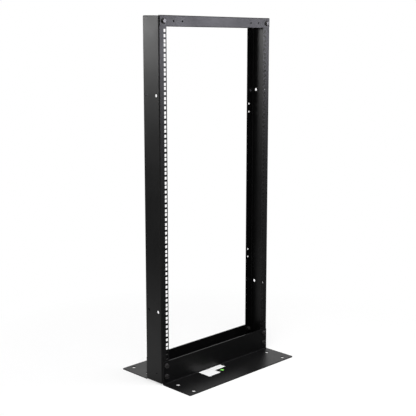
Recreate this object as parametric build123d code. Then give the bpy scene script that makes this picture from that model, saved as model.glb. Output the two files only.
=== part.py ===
from build123d import *
import os

# A two post open frame rack, in millimetres.
# It stands on the floor at z = 0, its front faces -Y and its width runs along X.

# Rack standard: the clear opening, the rail hole columns and the holes of one unit
equipment_opening = 450.85
rail_column_from_opening = 7.125
unit_pitch = 44.45
unit_count = 24
unit_hole_from_edge = 6.35
rail_hole_size = 9.5
rail_start_height = 83.2

# Posts, folded from sheet into channels with the web outside
post_sheet = 2.0
post_depth = 76.2
post_flange_width = 31.75
post_inner_bend = 1.5
post_floor_gap = 5.0
post_top_margin = 38.0

# Round holes in the posts
web_hole_diameter = 10.0
web_hole_spacing = 44.45
web_holes_from_post_foot = 240.0
web_holes_from_post_top = 244.5
low_web_hole_diameter = 6.0
low_web_hole_forward = 14.0
low_web_hole_height = 34.0
rear_hole_diameter = 7.0
rear_hole_from_web = 21.3
rear_pair_spacing = 28.0
rear_pair_from_post_foot = 345.2
rear_pair_from_post_top = 308.6

# Angles across the top, with a shelf over the post ends
top_sheet = 2.0
top_inner_bend = 0.5
top_seat_gap = 0.5
top_flange_height = 33.0
top_shelf_depth = 32.0
top_shelf_end_depth = 8.0
top_hole_diameter = 6.5
top_holes_from_end = (57.0, 94.7)
top_hole_drop = 18.0

# Angles along the floor, whose wide flanges are the feet
base_sheet = 3.0
base_inner_bend = 2.0
base_flange_height = 78.5
base_foot_depth = 130.0
floor_hole_diameter = 14.0
floor_hole_from_end = 34.5
floor_hole_from_post = 37.5
floor_hole_from_edge = 19.5

# Shared by the four angles
angle_end_inset = 3.5
angle_corner_radius = 4.0

# Holes for the frame bolts, one at each end of a top angle and two at each end of a base angle
bolt_hole_diameter = 9.0
bolt_from_web = 18.0
base_bolt_from_floor = 27.0
base_bolt_from_edge = 15.5

# Places that follow from the sizes above
half_width = equipment_opening / 2 + post_flange_width
half_depth = post_depth / 2
rail_column_x = equipment_opening / 2 + rail_column_from_opening
unit_hole_heights = (unit_hole_from_edge, unit_pitch / 2, unit_pitch - unit_hole_from_edge)
post_top = rail_start_height + unit_count * unit_pitch + post_top_margin
post_length = post_top - post_floor_gap
web_hole_heights = (post_floor_gap + web_holes_from_post_foot, post_top - web_holes_from_post_top)
rear_pair_heights = (post_floor_gap + rear_pair_from_post_foot, post_top - rear_pair_from_post_top)
frame_top = post_top + top_seat_gap + top_sheet
top_hole_height = frame_top - top_hole_drop
angle_half_length = half_width - angle_end_inset
top_shelf_crop = top_shelf_depth - top_shelf_end_depth
top_hole_places = [angle_half_length - reach for reach in top_holes_from_end]
floor_hole_reaches = (floor_hole_from_post, base_foot_depth - floor_hole_from_edge)
base_bolt_heights = (base_bolt_from_floor, base_flange_height - base_bolt_from_edge)
bolt_x = half_width - bolt_from_web
SIDES = (-1, 1)


def through(sheet):
    """The length of a cutter that is centred on a sheet's face and passes well through it."""
    return 4 * sheet


def rod_x(diameter, length, x, y, z):
    """A round cutter along X, centred on a point."""
    return Pos(x, y, z) * Rot(0, 90, 0) * Cylinder(diameter / 2, length)


def rod_y(diameter, length, x, y, z):
    """A round cutter along Y, centred on a point."""
    return Pos(x, y, z) * Rot(90, 0, 0) * Cylinder(diameter / 2, length)


def rod_z(diameter, length, x, y, z):
    """A round cutter along Z, centred on a point."""
    return Pos(x, y, z) * Cylinder(diameter / 2, length)


def tube_section(width, depth, sheet, inner_bend):
    """A rectangular tube of folded sheet: a channel is half of it, an angle a quarter."""
    outer = RectangleRounded(width, depth, inner_bend + sheet)
    inner = RectangleRounded(width - 2 * sheet, depth - 2 * sheet, inner_bend)
    return outer - inner


def rail_holes():
    """Cutters for the square holes down the right post's front flange."""
    cutters = []
    for unit in range(unit_count):
        unit_bottom = rail_start_height + unit * unit_pitch
        for hole_height in unit_hole_heights:
            place = Pos(rail_column_x, -half_depth, unit_bottom + hole_height)
            cutters.append(place * Box(rail_hole_size, through(post_sheet), rail_hole_size))
    return cutters


def web_holes():
    """Cutters for the pairs of side holes in the right post's web, and the small hole below them."""
    cutters = []
    for height in web_hole_heights:
        for y in (-web_hole_spacing / 2, web_hole_spacing / 2):
            cutters.append(rod_x(web_hole_diameter, through(post_sheet), half_width, y, height))
    low_y = -low_web_hole_forward
    cutters.append(rod_x(low_web_hole_diameter, through(post_sheet), half_width, low_y, low_web_hole_height))
    return cutters


def rear_flange_holes():
    """Cutters for the pairs of round holes in the right post's rear flange."""
    cutters = []
    x = half_width - rear_hole_from_web
    for middle in rear_pair_heights:
        for height in (middle - rear_pair_spacing / 2, middle + rear_pair_spacing / 2):
            cutters.append(rod_y(rear_hole_diameter, through(post_sheet), x, half_depth, height))
    return cutters


def post_bolt_holes():
    """Cutters for the frame bolts, through both flanges of the right post."""
    heights = [top_hole_height, *base_bolt_heights]
    return [rod_y(bolt_hole_diameter, 2 * post_depth, bolt_x, 0, height) for height in heights]


def make_right_post():
    """The right channel, drilled and punched. The left one is its mirror image."""
    tube = tube_section(2 * post_flange_width, post_depth, post_sheet, post_inner_bend)
    web_half = Pos(post_flange_width / 2, 0) * Rectangle(post_flange_width, post_depth)
    channel = extrude(tube & web_half, post_length)
    post = Pos(equipment_opening / 2, 0, post_floor_gap) * channel
    return post - rail_holes() - web_holes() - rear_flange_holes() - post_bolt_holes()


def angle_bar(corner_y, corner_z, leg_y, leg_z, sheet, inner_bend):
    """An angle along X. The legs are signed reaches from its outer corner."""
    tube = tube_section(2 * abs(leg_y), 2 * abs(leg_z), sheet, inner_bend)
    tube = Pos(corner_y + leg_y, corner_z + leg_z) * tube
    quarter = Pos(corner_y + leg_y / 2, corner_z + leg_z / 2) * Rectangle(abs(leg_y), abs(leg_z))
    return extrude(Plane.YZ * (tube & quarter), angle_half_length, both=True)


def make_front_top_angle():
    """The front angle across the top: it hangs over the posts' front flanges and their ends."""
    front_y = -half_depth - top_sheet
    bar = angle_bar(front_y, frame_top, top_shelf_depth, -top_flange_height, top_sheet, top_inner_bend)
    bar = chamfer(bar.edges().filter_by(Axis.Z).group_by(Axis.Y)[-1], top_shelf_crop)
    bar = fillet(bar.edges().filter_by(Axis.Y).group_by(Axis.Z)[0], angle_corner_radius)
    cutters = []
    for side in SIDES:
        cutters.append(rod_y(bolt_hole_diameter, through(top_sheet), side * bolt_x, front_y, top_hole_height))
        for place in top_hole_places:
            cutters.append(rod_y(top_hole_diameter, through(top_sheet), side * place, front_y, top_hole_height))
    return bar - cutters


def make_front_base_angle():
    """The front angle along the floor: it stands against the posts and its foot points forward."""
    bar = angle_bar(-half_depth, 0, -base_foot_depth, base_flange_height, base_sheet, base_inner_bend)
    bar = fillet(bar.edges().filter_by(Axis.Z).group_by(Axis.Y)[0], angle_corner_radius)
    bar = fillet(bar.edges().filter_by(Axis.Y).group_by(Axis.Z)[-1], angle_corner_radius)
    cutters = []
    for side in SIDES:
        for height in base_bolt_heights:
            cutters.append(rod_y(bolt_hole_diameter, through(base_sheet), side * bolt_x, -half_depth, height))
        hole_x = side * (angle_half_length - floor_hole_from_end)
        for reach in floor_hole_reaches:
            cutters.append(rod_z(floor_hole_diameter, through(base_sheet), hole_x, -half_depth - reach, 0))
    return bar - cutters


def make_rack():
    """Every piece of the rack by name."""
    right_post = make_right_post()
    front_top = make_front_top_angle()
    front_base = make_front_base_angle()
    turned = Rot(0, 0, 180)
    return {
        "left_post": mirror(right_post, Plane.YZ),
        "right_post": right_post,
        "front_top_angle": front_top,
        "rear_top_angle": turned * front_top,
        "front_base_angle": front_base,
        "rear_base_angle": turned * front_base,
    }


os.makedirs("parts", exist_ok=True)
for node_name, piece in make_rack().items():
    export_step(piece, f"parts/{node_name}.step")
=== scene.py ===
import bpy
import math
from mathutils import Matrix, Vector


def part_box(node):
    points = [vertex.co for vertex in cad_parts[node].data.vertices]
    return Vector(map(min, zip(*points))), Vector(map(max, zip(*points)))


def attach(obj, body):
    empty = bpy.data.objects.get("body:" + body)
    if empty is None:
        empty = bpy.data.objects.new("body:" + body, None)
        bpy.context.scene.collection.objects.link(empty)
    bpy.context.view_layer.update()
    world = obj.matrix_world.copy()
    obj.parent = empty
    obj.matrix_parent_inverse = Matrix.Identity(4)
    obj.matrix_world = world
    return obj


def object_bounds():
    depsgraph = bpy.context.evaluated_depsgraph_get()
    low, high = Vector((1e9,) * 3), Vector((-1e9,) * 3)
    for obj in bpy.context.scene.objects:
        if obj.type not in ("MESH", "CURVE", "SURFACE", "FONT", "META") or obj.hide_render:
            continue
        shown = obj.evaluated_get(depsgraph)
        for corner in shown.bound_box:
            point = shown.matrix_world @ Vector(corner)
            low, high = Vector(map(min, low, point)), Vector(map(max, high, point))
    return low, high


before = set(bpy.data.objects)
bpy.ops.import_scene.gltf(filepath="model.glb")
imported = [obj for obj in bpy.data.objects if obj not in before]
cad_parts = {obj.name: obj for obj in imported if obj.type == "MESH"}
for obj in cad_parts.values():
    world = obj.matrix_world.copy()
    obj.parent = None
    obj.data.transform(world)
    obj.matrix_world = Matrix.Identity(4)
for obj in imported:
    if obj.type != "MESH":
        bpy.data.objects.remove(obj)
cad_low, cad_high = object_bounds()

# A two post open frame rack on a white studio floor. Lengths are in metres, angles in degrees.
MM = 0.001
BODY = "root"

# Frame bolts: flange bolts with hexagon heads, and flange nuts on their ends
BOLT_RADIUS = 4.0 * MM
BOLT_LENGTH = 16.0 * MM
BOLT_TIP_CHAMFER = 0.8 * MM
THREAD_PITCH = 1.25 * MM
THREAD_DEPTH = 0.6 * MM
THREAD_LENGTH = 6.25 * MM
HEX_ACROSS_FLATS = 13.0 * MM
HEX_HEIGHT = 6.0 * MM
HEX_CROWN_RADIUS = 6.1 * MM
CROWN_SLOPE = math.tan(math.radians(30))
COLLAR_RADIUS = 8.9 * MM
COLLAR_RIM = 0.9 * MM
COLLAR_EDGE = 0.25 * MM
COLLAR_SLOPE = math.tan(math.radians(25))
HEAD_DISH_RADIUS = 4.8 * MM
HEAD_DISH_DEPTH = 0.35 * MM
NUT_CLEARANCE = 0.05 * MM
NUT_COUNTERSINK = 0.8 * MM

# Where the bolts sit, how far each is turned from the last, and when a hexagon looks the same again
POST_SHEET = 2.0 * MM
BASE_SHEET = 3.0 * MM
BOLT_FROM_WEB = 18.0 * MM
TOP_BOLT_DROP = 18.0 * MM
BASE_BOLT_FROM_FLOOR = 27.0 * MM
BASE_BOLT_FROM_EDGE = 15.5 * MM
BOLT_TURN = 37
HEX_TURN = 60

# Blank stickers on the front foot: middle and size on the foot's top, and how one corner curls up
LABEL_THICKNESS = 0.15 * MM
LABEL_CORNER = 2.0 * MM
LABEL_CURL = 6.0 * MM
LABEL_CURL_START = 0.6
LARGE_LABEL_MIDDLE = (-69.0 * MM, -71.0 * MM)
LARGE_LABEL_SIZE = (54.0 * MM, 52.0 * MM)
SMALL_LABEL_MIDDLE = (-16.0 * MM, -56.5 * MM)
SMALL_LABEL_SIZE = (51.0 * MM, 25.0 * MM)
DOT_MIDDLE = (-22.0 * MM, -84.0 * MM)
DOT_RADIUS = 6.0 * MM
DOT_TOP_RADIUS = 0.97 * DOT_RADIUS
DOT_RIM_HEIGHT = 0.6 * LABEL_THICKNESS

# How fine the meshes are, and the bends past which their edges look sharp
STEPS_AROUND = 72
STEPS_IN_THREAD = 8
STEPS_IN_LABEL = 24
DOT_RING_SHARES = (0.8, 0.6, 0.4, 0.2)
FRAME_SHARP = 20
TURNED_SHARP = 25
LABEL_SHARP = 40

# Finishes: colours, the roughness from one end of a pattern to the other, and how much they shine
WHITE = (1, 1, 1, 1)
PAINT_DARK = (0.0016, 0.0016, 0.0017, 1)
PAINT_PALE = (0.0026, 0.0025, 0.0027, 1)
# Painted rim highlight: a lighter paint in patches along the edges, and how wide it runs
PAINT_RIM_HIGHLIGHT = (0.030, 0.029, 0.029, 1)
PAINT_RIM_HIGHLIGHT_WIDTH = 1.0 * MM
PAINT_ROUGHNESS = (0.34, 0.40)
PAINT_SHINE = 0.25
OXIDE_BLACK = (0.010, 0.010, 0.011, 1)
OXIDE_BROWN = (0.021, 0.019, 0.018, 1)
OXIDE_WORN = (0.050, 0.049, 0.047, 1)
OXIDE_WEAR_WIDTH = 0.35 * MM
OXIDE_WEAR = (0.2, 1.0)
OXIDE_ROUGHNESS = (0.22, 0.36)
OXIDE_SHINE = 0.4
STICKER_WHITES = ((0.84, 0.84, 0.84, 1), (0.90, 0.90, 0.90, 1))
STICKER_GREENS = ((0.20, 0.74, 0.10, 1), (0.26, 0.82, 0.14, 1))
STICKER_ROUGHNESS = (0.40, 0.55)

# The stretch of a noise pattern that counts, and the cosines between a face and the bend at its edge
NOISE_RANGE = (0.3, 0.7)
# Where the patches of the painted rim highlight show
RIM_HIGHLIGHT_PATCH_RANGE = (0.45, 0.65)
WEAR_RANGE = (0.4, 0.6)
EDGE_COSINES = (0.99, 0.85)
EDGE_SAMPLES = 6

# Studio: where its white backdrop stands and fades, and how bright gloss and shade find the rest
BACKDROP_DIRECTION = (0.707, 0.707, 0.0)
BACKDROP_COSINES = (0.1, 0.75)
AXIS_BRIGHTNESS = 0.8
SLANT_BRIGHTNESS = 0.12
SLANT_RANGE = (0.25, 0.48)
AMBIENT_BRIGHTNESS = 0.3

# Floor: how it fades with distance to plain white, to the studio's glow and away from a sheen at the left
FLOOR_REACH = 12.0
FLOOR_DROP = 0.2 * MM
FLOOR_COLOUR = (0.9, 0.9, 0.9, 1)
FLOOR_WHITE_FADE = (0.3, 1.0)
FLOOR_WHITE_SHARE = (0.6, 1.0)
FLOOR_GLOW_FADE = (0.5, 1.2)
FLOOR_SHEEN = 0.8
FLOOR_SHEEN_PLACE = (-0.6, 0.35, 0.0)
FLOOR_SHEEN_FADE = (0.3, 1.0)
# Where the painted shade on the floor between the base angles fades out, in shares of the posts' reach
FLOOR_PAINTED_SHADE_EDGE = (0.9, 1.1)

# Softboxes: where they stand and aim, their size, their watts for each square metre and their grid's angle
POSTS_AIM = (0.0, 0.0, 0.95)
FOOT_AIM = (0.0, -0.1, 0.0)
SIDE_SIZE = (1.1, 0.3)
SIDE_GRID = 50.0
REAR_LEFT_PLACE = (-1.74, 1.82, 1.32)
REAR_LEFT_WATTS = 100.0
FRONT_RIGHT_PLACE = (1.50, -1.84, 1.25)
FRONT_RIGHT_WATTS = 124.0
OVERHEAD_PLACE = (-0.3, -0.8, 3.0)
OVERHEAD_SIZE = (1.8, 1.8)
OVERHEAD_WATTS = 31.0
OPEN_GRID = 180.0
NEUTRAL = (1.0, 1.0, 1.0)
COOL = (0.91, 0.90, 1.0)

# Camera at the photograph's viewing angle
CAMERA_PLACE = (-2.0917, -2.0911, 1.1007)
CAMERA_YAW = 44.92
CAMERA_PITCH = 9.43
CAMERA_LENS = 76.5
CAMERA_SHIFT_Y = -0.04


# Node helpers

def new_material(name):
    """A material with its tree and its principled shader."""
    material = bpy.data.materials.new(name)
    material.use_nodes = True
    tree = material.node_tree
    return material, tree, tree.nodes["Principled BSDF"]


def set_inputs(tree, node, inputs):
    """Plain values and links for the inputs of a node, by name or number."""
    for name, value in inputs.items():
        if isinstance(value, bpy.types.NodeSocket):
            tree.links.new(value, node.inputs[name])
        else:
            node.inputs[name].default_value = value


def add_node(tree, kind, inputs=None, **settings):
    """A node with its settings and its inputs."""
    node = tree.nodes.new(kind)
    for name, value in settings.items():
        setattr(node, name, value)
    set_inputs(tree, node, inputs or {})
    return node


def place_on_piece(tree):
    """Where a point lies on its own piece."""
    return add_node(tree, "ShaderNodeTexCoord").outputs["Object"]


def noise(tree, place, scale, detail=2.0, roughness=0.5):
    """A noise pattern whose features are about one over scale metres wide."""
    inputs = {"Vector": place, "Scale": scale, "Detail": detail, "Roughness": roughness}
    return add_node(tree, "ShaderNodeTexNoise", inputs).outputs["Fac"]


def spread(tree, value, given, wanted=(0.0, 1.0)):
    """value moved from the given range into the wanted one, and held at its ends."""
    names = ("From Min", "From Max", "To Min", "To Max")
    inputs = {"Value": value, **dict(zip(names, given + wanted))}
    return add_node(tree, "ShaderNodeMapRange", inputs).outputs["Result"]


def blend(tree, share, first, second):
    """A colour between two colours. The mix node takes colours at 6 and 7 and gives one at 2."""
    inputs = {0: share, 6: first, 7: second}
    return add_node(tree, "ShaderNodeMix", inputs, data_type="RGBA").outputs[2]


def operands(first, second):
    """The inputs of a node for two values, or for one."""
    return {0: first} if second is None else {0: first, 1: second}


def combine(tree, operation, first, second=None):
    """Two numbers joined, or one number changed."""
    return add_node(tree, "ShaderNodeMath", operands(first, second), operation=operation).outputs[0]


def vector(tree, operation, first, second=None):
    """Two vectors joined, or one vector changed."""
    outputs = add_node(tree, "ShaderNodeVectorMath", operands(first, second), operation=operation).outputs
    return outputs["Value"] if operation in ("DOT_PRODUCT", "DISTANCE", "LENGTH") else outputs["Vector"]


def bumped(tree, height, distance, strength):
    """A surface normal roughened by a height pattern."""
    inputs = {"Height": height, "Distance": distance, "Strength": strength}
    return add_node(tree, "ShaderNodeBump", inputs).outputs["Normal"]


def edge_mask(tree, width):
    """1 along the sharp edges of a piece and 0 on its faces."""
    rounded = add_node(tree, "ShaderNodeBevel", {"Radius": width}, samples=EDGE_SAMPLES).outputs["Normal"]
    flat = add_node(tree, "ShaderNodeNewGeometry").outputs["Normal"]
    return spread(tree, vector(tree, "DOT_PRODUCT", rounded, flat), EDGE_COSINES)


# Materials

def powder_coat():
    """Black powder coat: a fine grain over a soft orange peel, cloudy, with a painted rim highlight in
    patches along its edges.
    """
    material, tree, shader = new_material("black_powder_coat")
    place = place_on_piece(tree)
    clouds = noise(tree, place, scale=11.0, detail=5.0, roughness=0.6)
    grain = noise(tree, place, scale=1500.0)
    peel = noise(tree, place, scale=320.0)
    # Painted rim highlight: a lighter paint along the edges, broken into patches
    rim_highlight_patches = noise(tree, place, scale=70.0, detail=6.0, roughness=0.7)
    painted_rim_highlight = combine(tree, "MULTIPLY", edge_mask(tree, PAINT_RIM_HIGHLIGHT_WIDTH), spread(tree, rim_highlight_patches, RIM_HIGHLIGHT_PATCH_RANGE))
    paint = blend(tree, clouds, PAINT_DARK, PAINT_PALE)
    height = combine(tree, "ADD", grain, peel)
    set_inputs(tree, shader, {
        "Base Color": blend(tree, painted_rim_highlight, paint, PAINT_RIM_HIGHLIGHT),
        "Roughness": spread(tree, clouds, NOISE_RANGE, PAINT_ROUGHNESS),
        "Normal": bumped(tree, height, distance=0.05 * MM, strength=0.25),
        "Specular IOR Level": PAINT_SHINE,
    })
    return material


def black_oxide():
    """Blackened steel of the fasteners: smoother than the paint, brown in places, bright on worn corners."""
    material, tree, shader = new_material("black_oxide_steel")
    place = place_on_piece(tree)
    clouds = noise(tree, place, scale=420.0, detail=4.0, roughness=0.6)
    marks = noise(tree, place, scale=2600.0, detail=3.0)
    wear = spread(tree, clouds, WEAR_RANGE, OXIDE_WEAR)
    worn = combine(tree, "MULTIPLY", edge_mask(tree, OXIDE_WEAR_WIDTH), wear)
    steel = blend(tree, clouds, OXIDE_BLACK, OXIDE_BROWN)
    set_inputs(tree, shader, {
        "Base Color": blend(tree, worn, steel, OXIDE_WORN),
        "Roughness": spread(tree, marks, NOISE_RANGE, OXIDE_ROUGHNESS),
        "Normal": bumped(tree, marks, distance=0.02 * MM, strength=0.2),
        "Specular IOR Level": OXIDE_SHINE,
    })
    return material


def sticker(name, colours):
    """Coated paper of a sticker: nearly even, with a faint fibre."""
    material, tree, shader = new_material(name)
    fibres = noise(tree, place_on_piece(tree), scale=900.0, detail=5.0, roughness=0.65)
    set_inputs(tree, shader, {
        "Base Color": blend(tree, fibres, *colours),
        "Roughness": spread(tree, fibres, NOISE_RANGE, STICKER_ROUGHNESS),
        "Normal": bumped(tree, fibres, distance=0.02 * MM, strength=0.15),
    })
    return material


# Meshes

def add_object(name, data):
    """An object of the scene with its mesh, lamp or camera."""
    thing = bpy.data.objects.new(name, data)
    bpy.context.scene.collection.objects.link(thing)
    return thing


def make_piece(name, mesh, material, place):
    """An object at a place that rides on the frame."""
    piece = add_object(name, mesh)
    if not mesh.materials:
        mesh.materials.append(material)
    piece.matrix_world = place
    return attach(piece, BODY)


def smooth_mesh(name, points, faces, sharp):
    """A mesh that is smooth but for the edges that bend by more than an angle."""
    mesh = bpy.data.meshes.new(name)
    mesh.from_pydata(points, [], faces)
    mesh.shade_smooth()
    mesh.set_sharp_from_angle(angle=math.radians(sharp))
    return mesh


def ring_points(radius, height):
    """Points once around the axis. Radius and height are numbers or functions of the angle."""
    points = []
    for step in range(STEPS_AROUND):
        angle = 2 * math.pi * step / STEPS_AROUND
        r = radius(angle) if callable(radius) else radius
        z = height(angle) if callable(height) else height
        points.append((r * math.cos(angle), r * math.sin(angle), z))
    return points


def turned_mesh(name, rings, hollow):
    """A closed mesh through rings: a hollow one returns to its first ring, another is capped at both ends."""
    points = [point for ring in rings for point in ring_points(*ring)]
    count = len(rings)
    faces = []
    for ring in range(count if hollow else count - 1):
        here = ring * STEPS_AROUND
        there = (ring + 1) % count * STEPS_AROUND
        for step in range(STEPS_AROUND):
            after = (step + 1) % STEPS_AROUND
            faces.append((here + step, here + after, there + after, there + step))
    if not hollow:
        faces.append(tuple(reversed(range(STEPS_AROUND))))
        faces.append(tuple(range((count - 1) * STEPS_AROUND, count * STEPS_AROUND)))
    return smooth_mesh(name, points, faces, TURNED_SHARP)


def hex_radius(angle):
    """From the axis to the side of the hexagon, with a corner at angle 0."""
    sixth = math.pi / 3
    return HEX_ACROSS_FLATS / 2 / math.cos(angle % sixth - sixth / 2)


def collar_height(angle):
    """Where the collar's slope meets the hexagon."""
    return COLLAR_RIM + (COLLAR_RADIUS - hex_radius(angle)) * COLLAR_SLOPE


def crown_height(angle):
    """Where the crown's cone meets the hexagon."""
    return HEX_HEIGHT - (hex_radius(angle) - HEX_CROWN_RADIUS) * CROWN_SLOPE


def collar_and_hexagon():
    """The rings from a collar's seat to the top of the hexagon on it."""
    return [
        (COLLAR_RADIUS - COLLAR_EDGE, 0.0),
        (COLLAR_RADIUS, COLLAR_EDGE),
        (COLLAR_RADIUS, COLLAR_RIM),
        (hex_radius, collar_height),
        (hex_radius, crown_height),
        (HEX_CROWN_RADIUS, HEX_HEIGHT),
    ]


def thread_radius(height):
    """A thread's radius around the axis at one height, along its helix."""
    def radius(angle):
        turn = (height / THREAD_PITCH - angle / (2 * math.pi)) % 1
        return BOLT_RADIUS - THREAD_DEPTH * abs(2 * turn - 1)
    return radius


def bolt_mesh():
    """A flange bolt with its seat at height 0 and its shank below."""
    tip = -BOLT_LENGTH
    rings = [(BOLT_RADIUS - BOLT_TIP_CHAMFER - THREAD_DEPTH / 2, tip)]
    steps = round(THREAD_LENGTH / THREAD_PITCH * STEPS_IN_THREAD)
    for step in range(steps + 1):
        height = tip + BOLT_TIP_CHAMFER + (THREAD_LENGTH - BOLT_TIP_CHAMFER) * step / steps
        rings.append((thread_radius(height), height))
    rings.append((BOLT_RADIUS, tip + THREAD_LENGTH + THREAD_PITCH))
    rings.append((BOLT_RADIUS, 0.0))
    rings += collar_and_hexagon()
    rings.append((HEAD_DISH_RADIUS, HEX_HEIGHT))
    rings.append((HEAD_DISH_RADIUS - HEAD_DISH_DEPTH, HEX_HEIGHT - HEAD_DISH_DEPTH))
    return turned_mesh("flange_bolt", rings, hollow=False)


def nut_mesh():
    """A flange nut with its seat at height 0."""
    bore = BOLT_RADIUS + NUT_CLEARANCE
    rings = [(bore, 0.0)] + collar_and_hexagon()
    rings.append((bore + NUT_COUNTERSINK, HEX_HEIGHT))
    rings.append((bore, HEX_HEIGHT - NUT_COUNTERSINK))
    return turned_mesh("flange_nut", rings, hollow=True)


def add_fasteners(material):
    """Bolts and nuts at the ends of the angles, one pair at the top and two at the base, heads outside."""
    bolt = bolt_mesh()
    nut = nut_mesh()
    post_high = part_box("right_post")[1]
    bolt_x = post_high.x - BOLT_FROM_WEB
    flange_inside = post_high.y - POST_SHEET
    top_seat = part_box("rear_top_angle")[1].y
    base_seat = post_high.y + BASE_SHEET
    base_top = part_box("front_base_angle")[1].z
    rows = {
        "top_{part}_{side}": (cad_high.z - TOP_BOLT_DROP, top_seat),
        "base_{part}_{side}_lower": (BASE_BOLT_FROM_FLOOR, base_seat),
        "base_{part}_{side}_upper": (base_top - BASE_BOLT_FROM_EDGE, base_seat),
    }
    turn = 0
    for face, outward in (("front", -1), ("rear", 1)):
        quarter = outward * math.radians(90)
        for side, sign in (("left", -1), ("right", 1)):
            for label, (height, seat) in rows.items():
                spin = Matrix.Rotation(math.radians(turn), 4, "Z")
                head = Matrix.Rotation(-quarter, 4, "X") @ spin
                inward = Matrix.Rotation(quarter, 4, "X") @ spin
                bolt_place = Matrix.Translation((sign * bolt_x, outward * seat, height)) @ head
                nut_place = Matrix.Translation((sign * bolt_x, outward * flange_inside, height)) @ inward
                for part, mesh, place in (("bolt", bolt, bolt_place), ("nut", nut, nut_place)):
                    name = f"{face}_{label.format(part=part, side=side)}"
                    make_piece(name, mesh, material, place)
                turn = (turn + BOLT_TURN) % HEX_TURN


def rounded_place(share_x, share_y, size):
    """A point of a rectangle with round corners, for shares from -1 to 1 across it."""
    x = share_x * size[0] / 2
    y = share_y * size[1] / 2
    past_x = abs(x) - (size[0] / 2 - LABEL_CORNER)
    past_y = abs(y) - (size[1] / 2 - LABEL_CORNER)
    if past_x > 0 and past_y > 0:
        pull = 1 - max(past_x, past_y) / math.hypot(past_x, past_y)
        x -= math.copysign(past_x * pull, x)
        y -= math.copysign(past_y * pull, y)
    return x, y


def label_mesh(name, size):
    """A thin sticker with round corners that curls up a little at its front right corner."""
    side = STEPS_IN_LABEL + 1
    shares = [2 * step / STEPS_IN_LABEL - 1 for step in range(side)]
    points = []
    for height in (LABEL_THICKNESS, 0.0):
        for share_y in shares:
            for share_x in shares:
                x, y = rounded_place(share_x, share_y, size)
                curl = max(0.0, x / size[0] - y / size[1] - LABEL_CURL_START)
                points.append((x, y, height + LABEL_CURL * curl * curl))
    under = side * side
    faces = []
    for row in range(STEPS_IN_LABEL):
        for column in range(STEPS_IN_LABEL):
            corner = row * side + column
            quad = (corner, corner + 1, corner + 1 + side, corner + side)
            faces.append(quad)
            faces.append(tuple(under + point for point in reversed(quad)))
    rim = list(range(side)) + [row * side + STEPS_IN_LABEL for row in range(1, side)]
    rim += [under - 2 - column for column in range(STEPS_IN_LABEL)]
    rim += [row * side for row in range(STEPS_IN_LABEL - 1, 0, -1)]
    for here, there in zip(rim, rim[1:] + rim[:1]):
        faces.append((there, here, under + here, under + there))
    return smooth_mesh(name, points, faces, LABEL_SHARP)


def dot_mesh():
    """A round sticker with a soft rim."""
    rings = [(DOT_RADIUS, 0.0), (DOT_RADIUS, DOT_RIM_HEIGHT), (DOT_TOP_RADIUS, LABEL_THICKNESS)]
    rings += [(DOT_RADIUS * share, LABEL_THICKNESS) for share in DOT_RING_SHARES]
    return turned_mesh("dot_sticker", rings, hollow=False)


def add_stickers():
    """Two blank white stickers and a plain green dot on the front foot."""
    white = sticker("white_sticker", STICKER_WHITES)
    green = sticker("green_sticker", STICKER_GREENS)
    large = label_mesh("large_label", LARGE_LABEL_SIZE)
    small = label_mesh("small_label", SMALL_LABEL_SIZE)
    for name, mesh, material, middle in (
        ("large_label", large, white, LARGE_LABEL_MIDDLE),
        ("small_label", small, white, SMALL_LABEL_MIDDLE),
        ("green_dot", dot_mesh(), green, DOT_MIDDLE),
    ):
        make_piece(name, mesh, material, Matrix.Translation((*middle, BASE_SHEET)))


# Stage

def ray_kinds(tree):
    """1 for rays from the camera, and 1 for rays that a surface mirrors or lets through."""
    path = add_node(tree, "ShaderNodeLightPath").outputs
    mirrored = combine(tree, "MAXIMUM", path["Is Glossy Ray"], path["Is Transmission Ray"])
    return path["Is Camera Ray"], mirrored


def x_and_y(tree, place):
    """The first two numbers of a vector."""
    parts = add_node(tree, "ShaderNodeSeparateXYZ", {0: place}).outputs
    return parts["X"], parts["Y"]


def studio_glow(tree, direction):
    """How bright gloss finds the studio: white at the backdrop, pale along the axes, dim on a slant."""
    level = vector(tree, "NORMALIZE", vector(tree, "MULTIPLY", direction, (1, 1, 0)))
    slant = combine(tree, "ABSOLUTE", combine(tree, "MULTIPLY", *x_and_y(tree, level)))
    pale = spread(tree, slant, SLANT_RANGE, (AXIS_BRIGHTNESS, SLANT_BRIGHTNESS))
    facing = vector(tree, "DOT_PRODUCT", direction, BACKDROP_DIRECTION)
    return combine(tree, "MAXIMUM", pale, spread(tree, facing, BACKDROP_COSINES))


def add_world():
    """A studio that is white all round to the eye, with a glow of its own for gloss and an even light."""
    world = bpy.data.worlds.new("studio")
    bpy.context.scene.world = world
    world.use_nodes = True
    tree = world.node_tree
    camera, mirrored = ray_kinds(tree)
    direction = add_node(tree, "ShaderNodeTexCoord").outputs["Generated"]
    gloss = combine(tree, "MULTIPLY", mirrored, studio_glow(tree, direction))
    strength = combine(tree, "MAXIMUM", combine(tree, "MAXIMUM", camera, gloss), AMBIENT_BRIGHTNESS)
    set_inputs(tree, tree.nodes["Background"], {"Color": WHITE, "Strength": strength})


def beside_posts(tree, place):
    """0 on the floor between the base angles and 1 around them: a painted shade that darkens the floor's glow
    for gloss there.
    """
    post_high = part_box("right_post")[1]
    reach = vector(tree, "DIVIDE", vector(tree, "ABSOLUTE", place), (post_high.x, post_high.y, 1.0))
    return spread(tree, combine(tree, "MAXIMUM", *x_and_y(tree, reach)), FLOOR_PAINTED_SHADE_EDGE)


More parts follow.
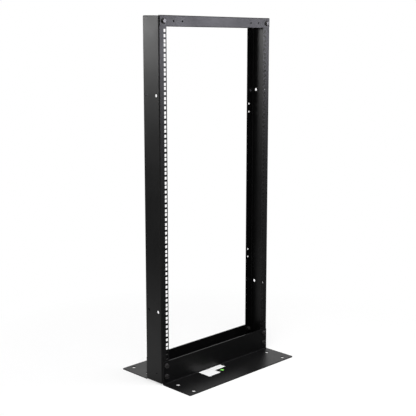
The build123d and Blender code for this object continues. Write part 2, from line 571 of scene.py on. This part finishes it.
def floor_material():
    """White floor: it takes the rack's shadow close by and fades into the white surround."""
    material, tree, shader = new_material("studio_floor")
    tree.nodes.remove(shader)
    camera, mirrored = ray_kinds(tree)
    place = place_on_piece(tree)
    away = vector(tree, "LENGTH", place)
    seen = combine(tree, "MULTIPLY", camera, spread(tree, away, FLOOR_WHITE_FADE, FLOOR_WHITE_SHARE))
    glow = studio_glow(tree, vector(tree, "NORMALIZE", place))
    far_gloss = spread(tree, away, FLOOR_GLOW_FADE, (SLANT_BRIGHTNESS, glow))
    from_sheen = vector(tree, "DISTANCE", place, FLOOR_SHEEN_PLACE)
    near_gloss = spread(tree, from_sheen, FLOOR_SHEEN_FADE, (FLOOR_SHEEN, 0.0))
    gloss = combine(tree, "MAXIMUM", far_gloss, near_gloss)
    # Painted shade: the floor's glow for gloss is darkened between the base angles
    gloss = combine(tree, "MULTIPLY", gloss, beside_posts(tree, place))
    strength = combine(tree, "MAXIMUM", camera, gloss)
    lit = add_node(tree, "ShaderNodeBsdfDiffuse", {"Color": FLOOR_COLOUR}).outputs[0]
    white = add_node(tree, "ShaderNodeEmission", {"Color": WHITE, "Strength": strength}).outputs[0]
    share = combine(tree, "MAXIMUM", seen, mirrored)
    mix = add_node(tree, "ShaderNodeMixShader", {0: share, 1: lit, 2: white}).outputs[0]
    set_inputs(tree, tree.nodes["Material Output"], {"Surface": mix})
    return material


def add_floor():
    """A wide floor just under the feet."""
    reach = FLOOR_REACH
    mesh = bpy.data.meshes.new("studio_floor")
    corners = [(-reach, -reach, 0), (reach, -reach, 0), (reach, reach, 0), (-reach, reach, 0)]
    mesh.from_pydata(corners, [], [(0, 1, 2, 3)])
    mesh.materials.append(floor_material())
    floor = add_object("studio_floor", mesh)
    floor.location.z = -FLOOR_DROP


def add_softbox(name, place, aim, size, watts, tint, grid):
    """A rectangular lamp aimed at a point, with its watts for each square metre and its grid's angle."""
    lamp = bpy.data.lights.new(name, "AREA")
    lamp.shape = "RECTANGLE"
    lamp.size, lamp.size_y = size
    half = math.radians(grid) / 2
    lamp.spread = 2 * half
    lamp.energy = watts * size[0] * size[1] * (1 - half / math.tan(half))
    lamp.color = tint
    softbox = add_object(name, lamp)
    softbox.location = place
    softbox.rotation_euler = (Vector(aim) - Vector(place)).to_track_quat("-Z", "Y").to_euler()
    softbox.visible_camera = False


def add_lights():
    """Softboxes at the rear left and the front right, which the gloss shows, and one overhead."""
    for name, place, watts, tint in (
        ("rear_left_softbox", REAR_LEFT_PLACE, REAR_LEFT_WATTS, NEUTRAL),
        ("front_right_softbox", FRONT_RIGHT_PLACE, FRONT_RIGHT_WATTS, COOL),
    ):
        add_softbox(name, place, POSTS_AIM, SIDE_SIZE, watts, tint, SIDE_GRID)
    overhead = (OVERHEAD_PLACE, FOOT_AIM, OVERHEAD_SIZE, OVERHEAD_WATTS)
    add_softbox("overhead_softbox", *overhead, NEUTRAL, OPEN_GRID)


def add_camera():
    """The photograph's camera: level from side to side and looking slightly down."""
    lens = bpy.data.cameras.new("camera")
    lens.lens = CAMERA_LENS
    lens.shift_y = CAMERA_SHIFT_Y
    camera = add_object("camera", lens)
    camera.location = CAMERA_PLACE
    camera.rotation_euler = (math.radians(90 - CAMERA_PITCH), 0, math.radians(-CAMERA_YAW))
    bpy.context.scene.camera = camera


def dress_frame(material):
    """The same finish on every piece of the frame."""
    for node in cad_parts.values():
        node.data.materials.clear()
        node.data.materials.append(material)
        node.data.set_sharp_from_angle(angle=math.radians(FRAME_SHARP))


bpy.context.scene.view_settings.view_transform = "Standard"
dress_frame(powder_coat())
add_fasteners(black_oxide())
add_stickers()
add_world()
add_floor()
add_lights()
add_camera()
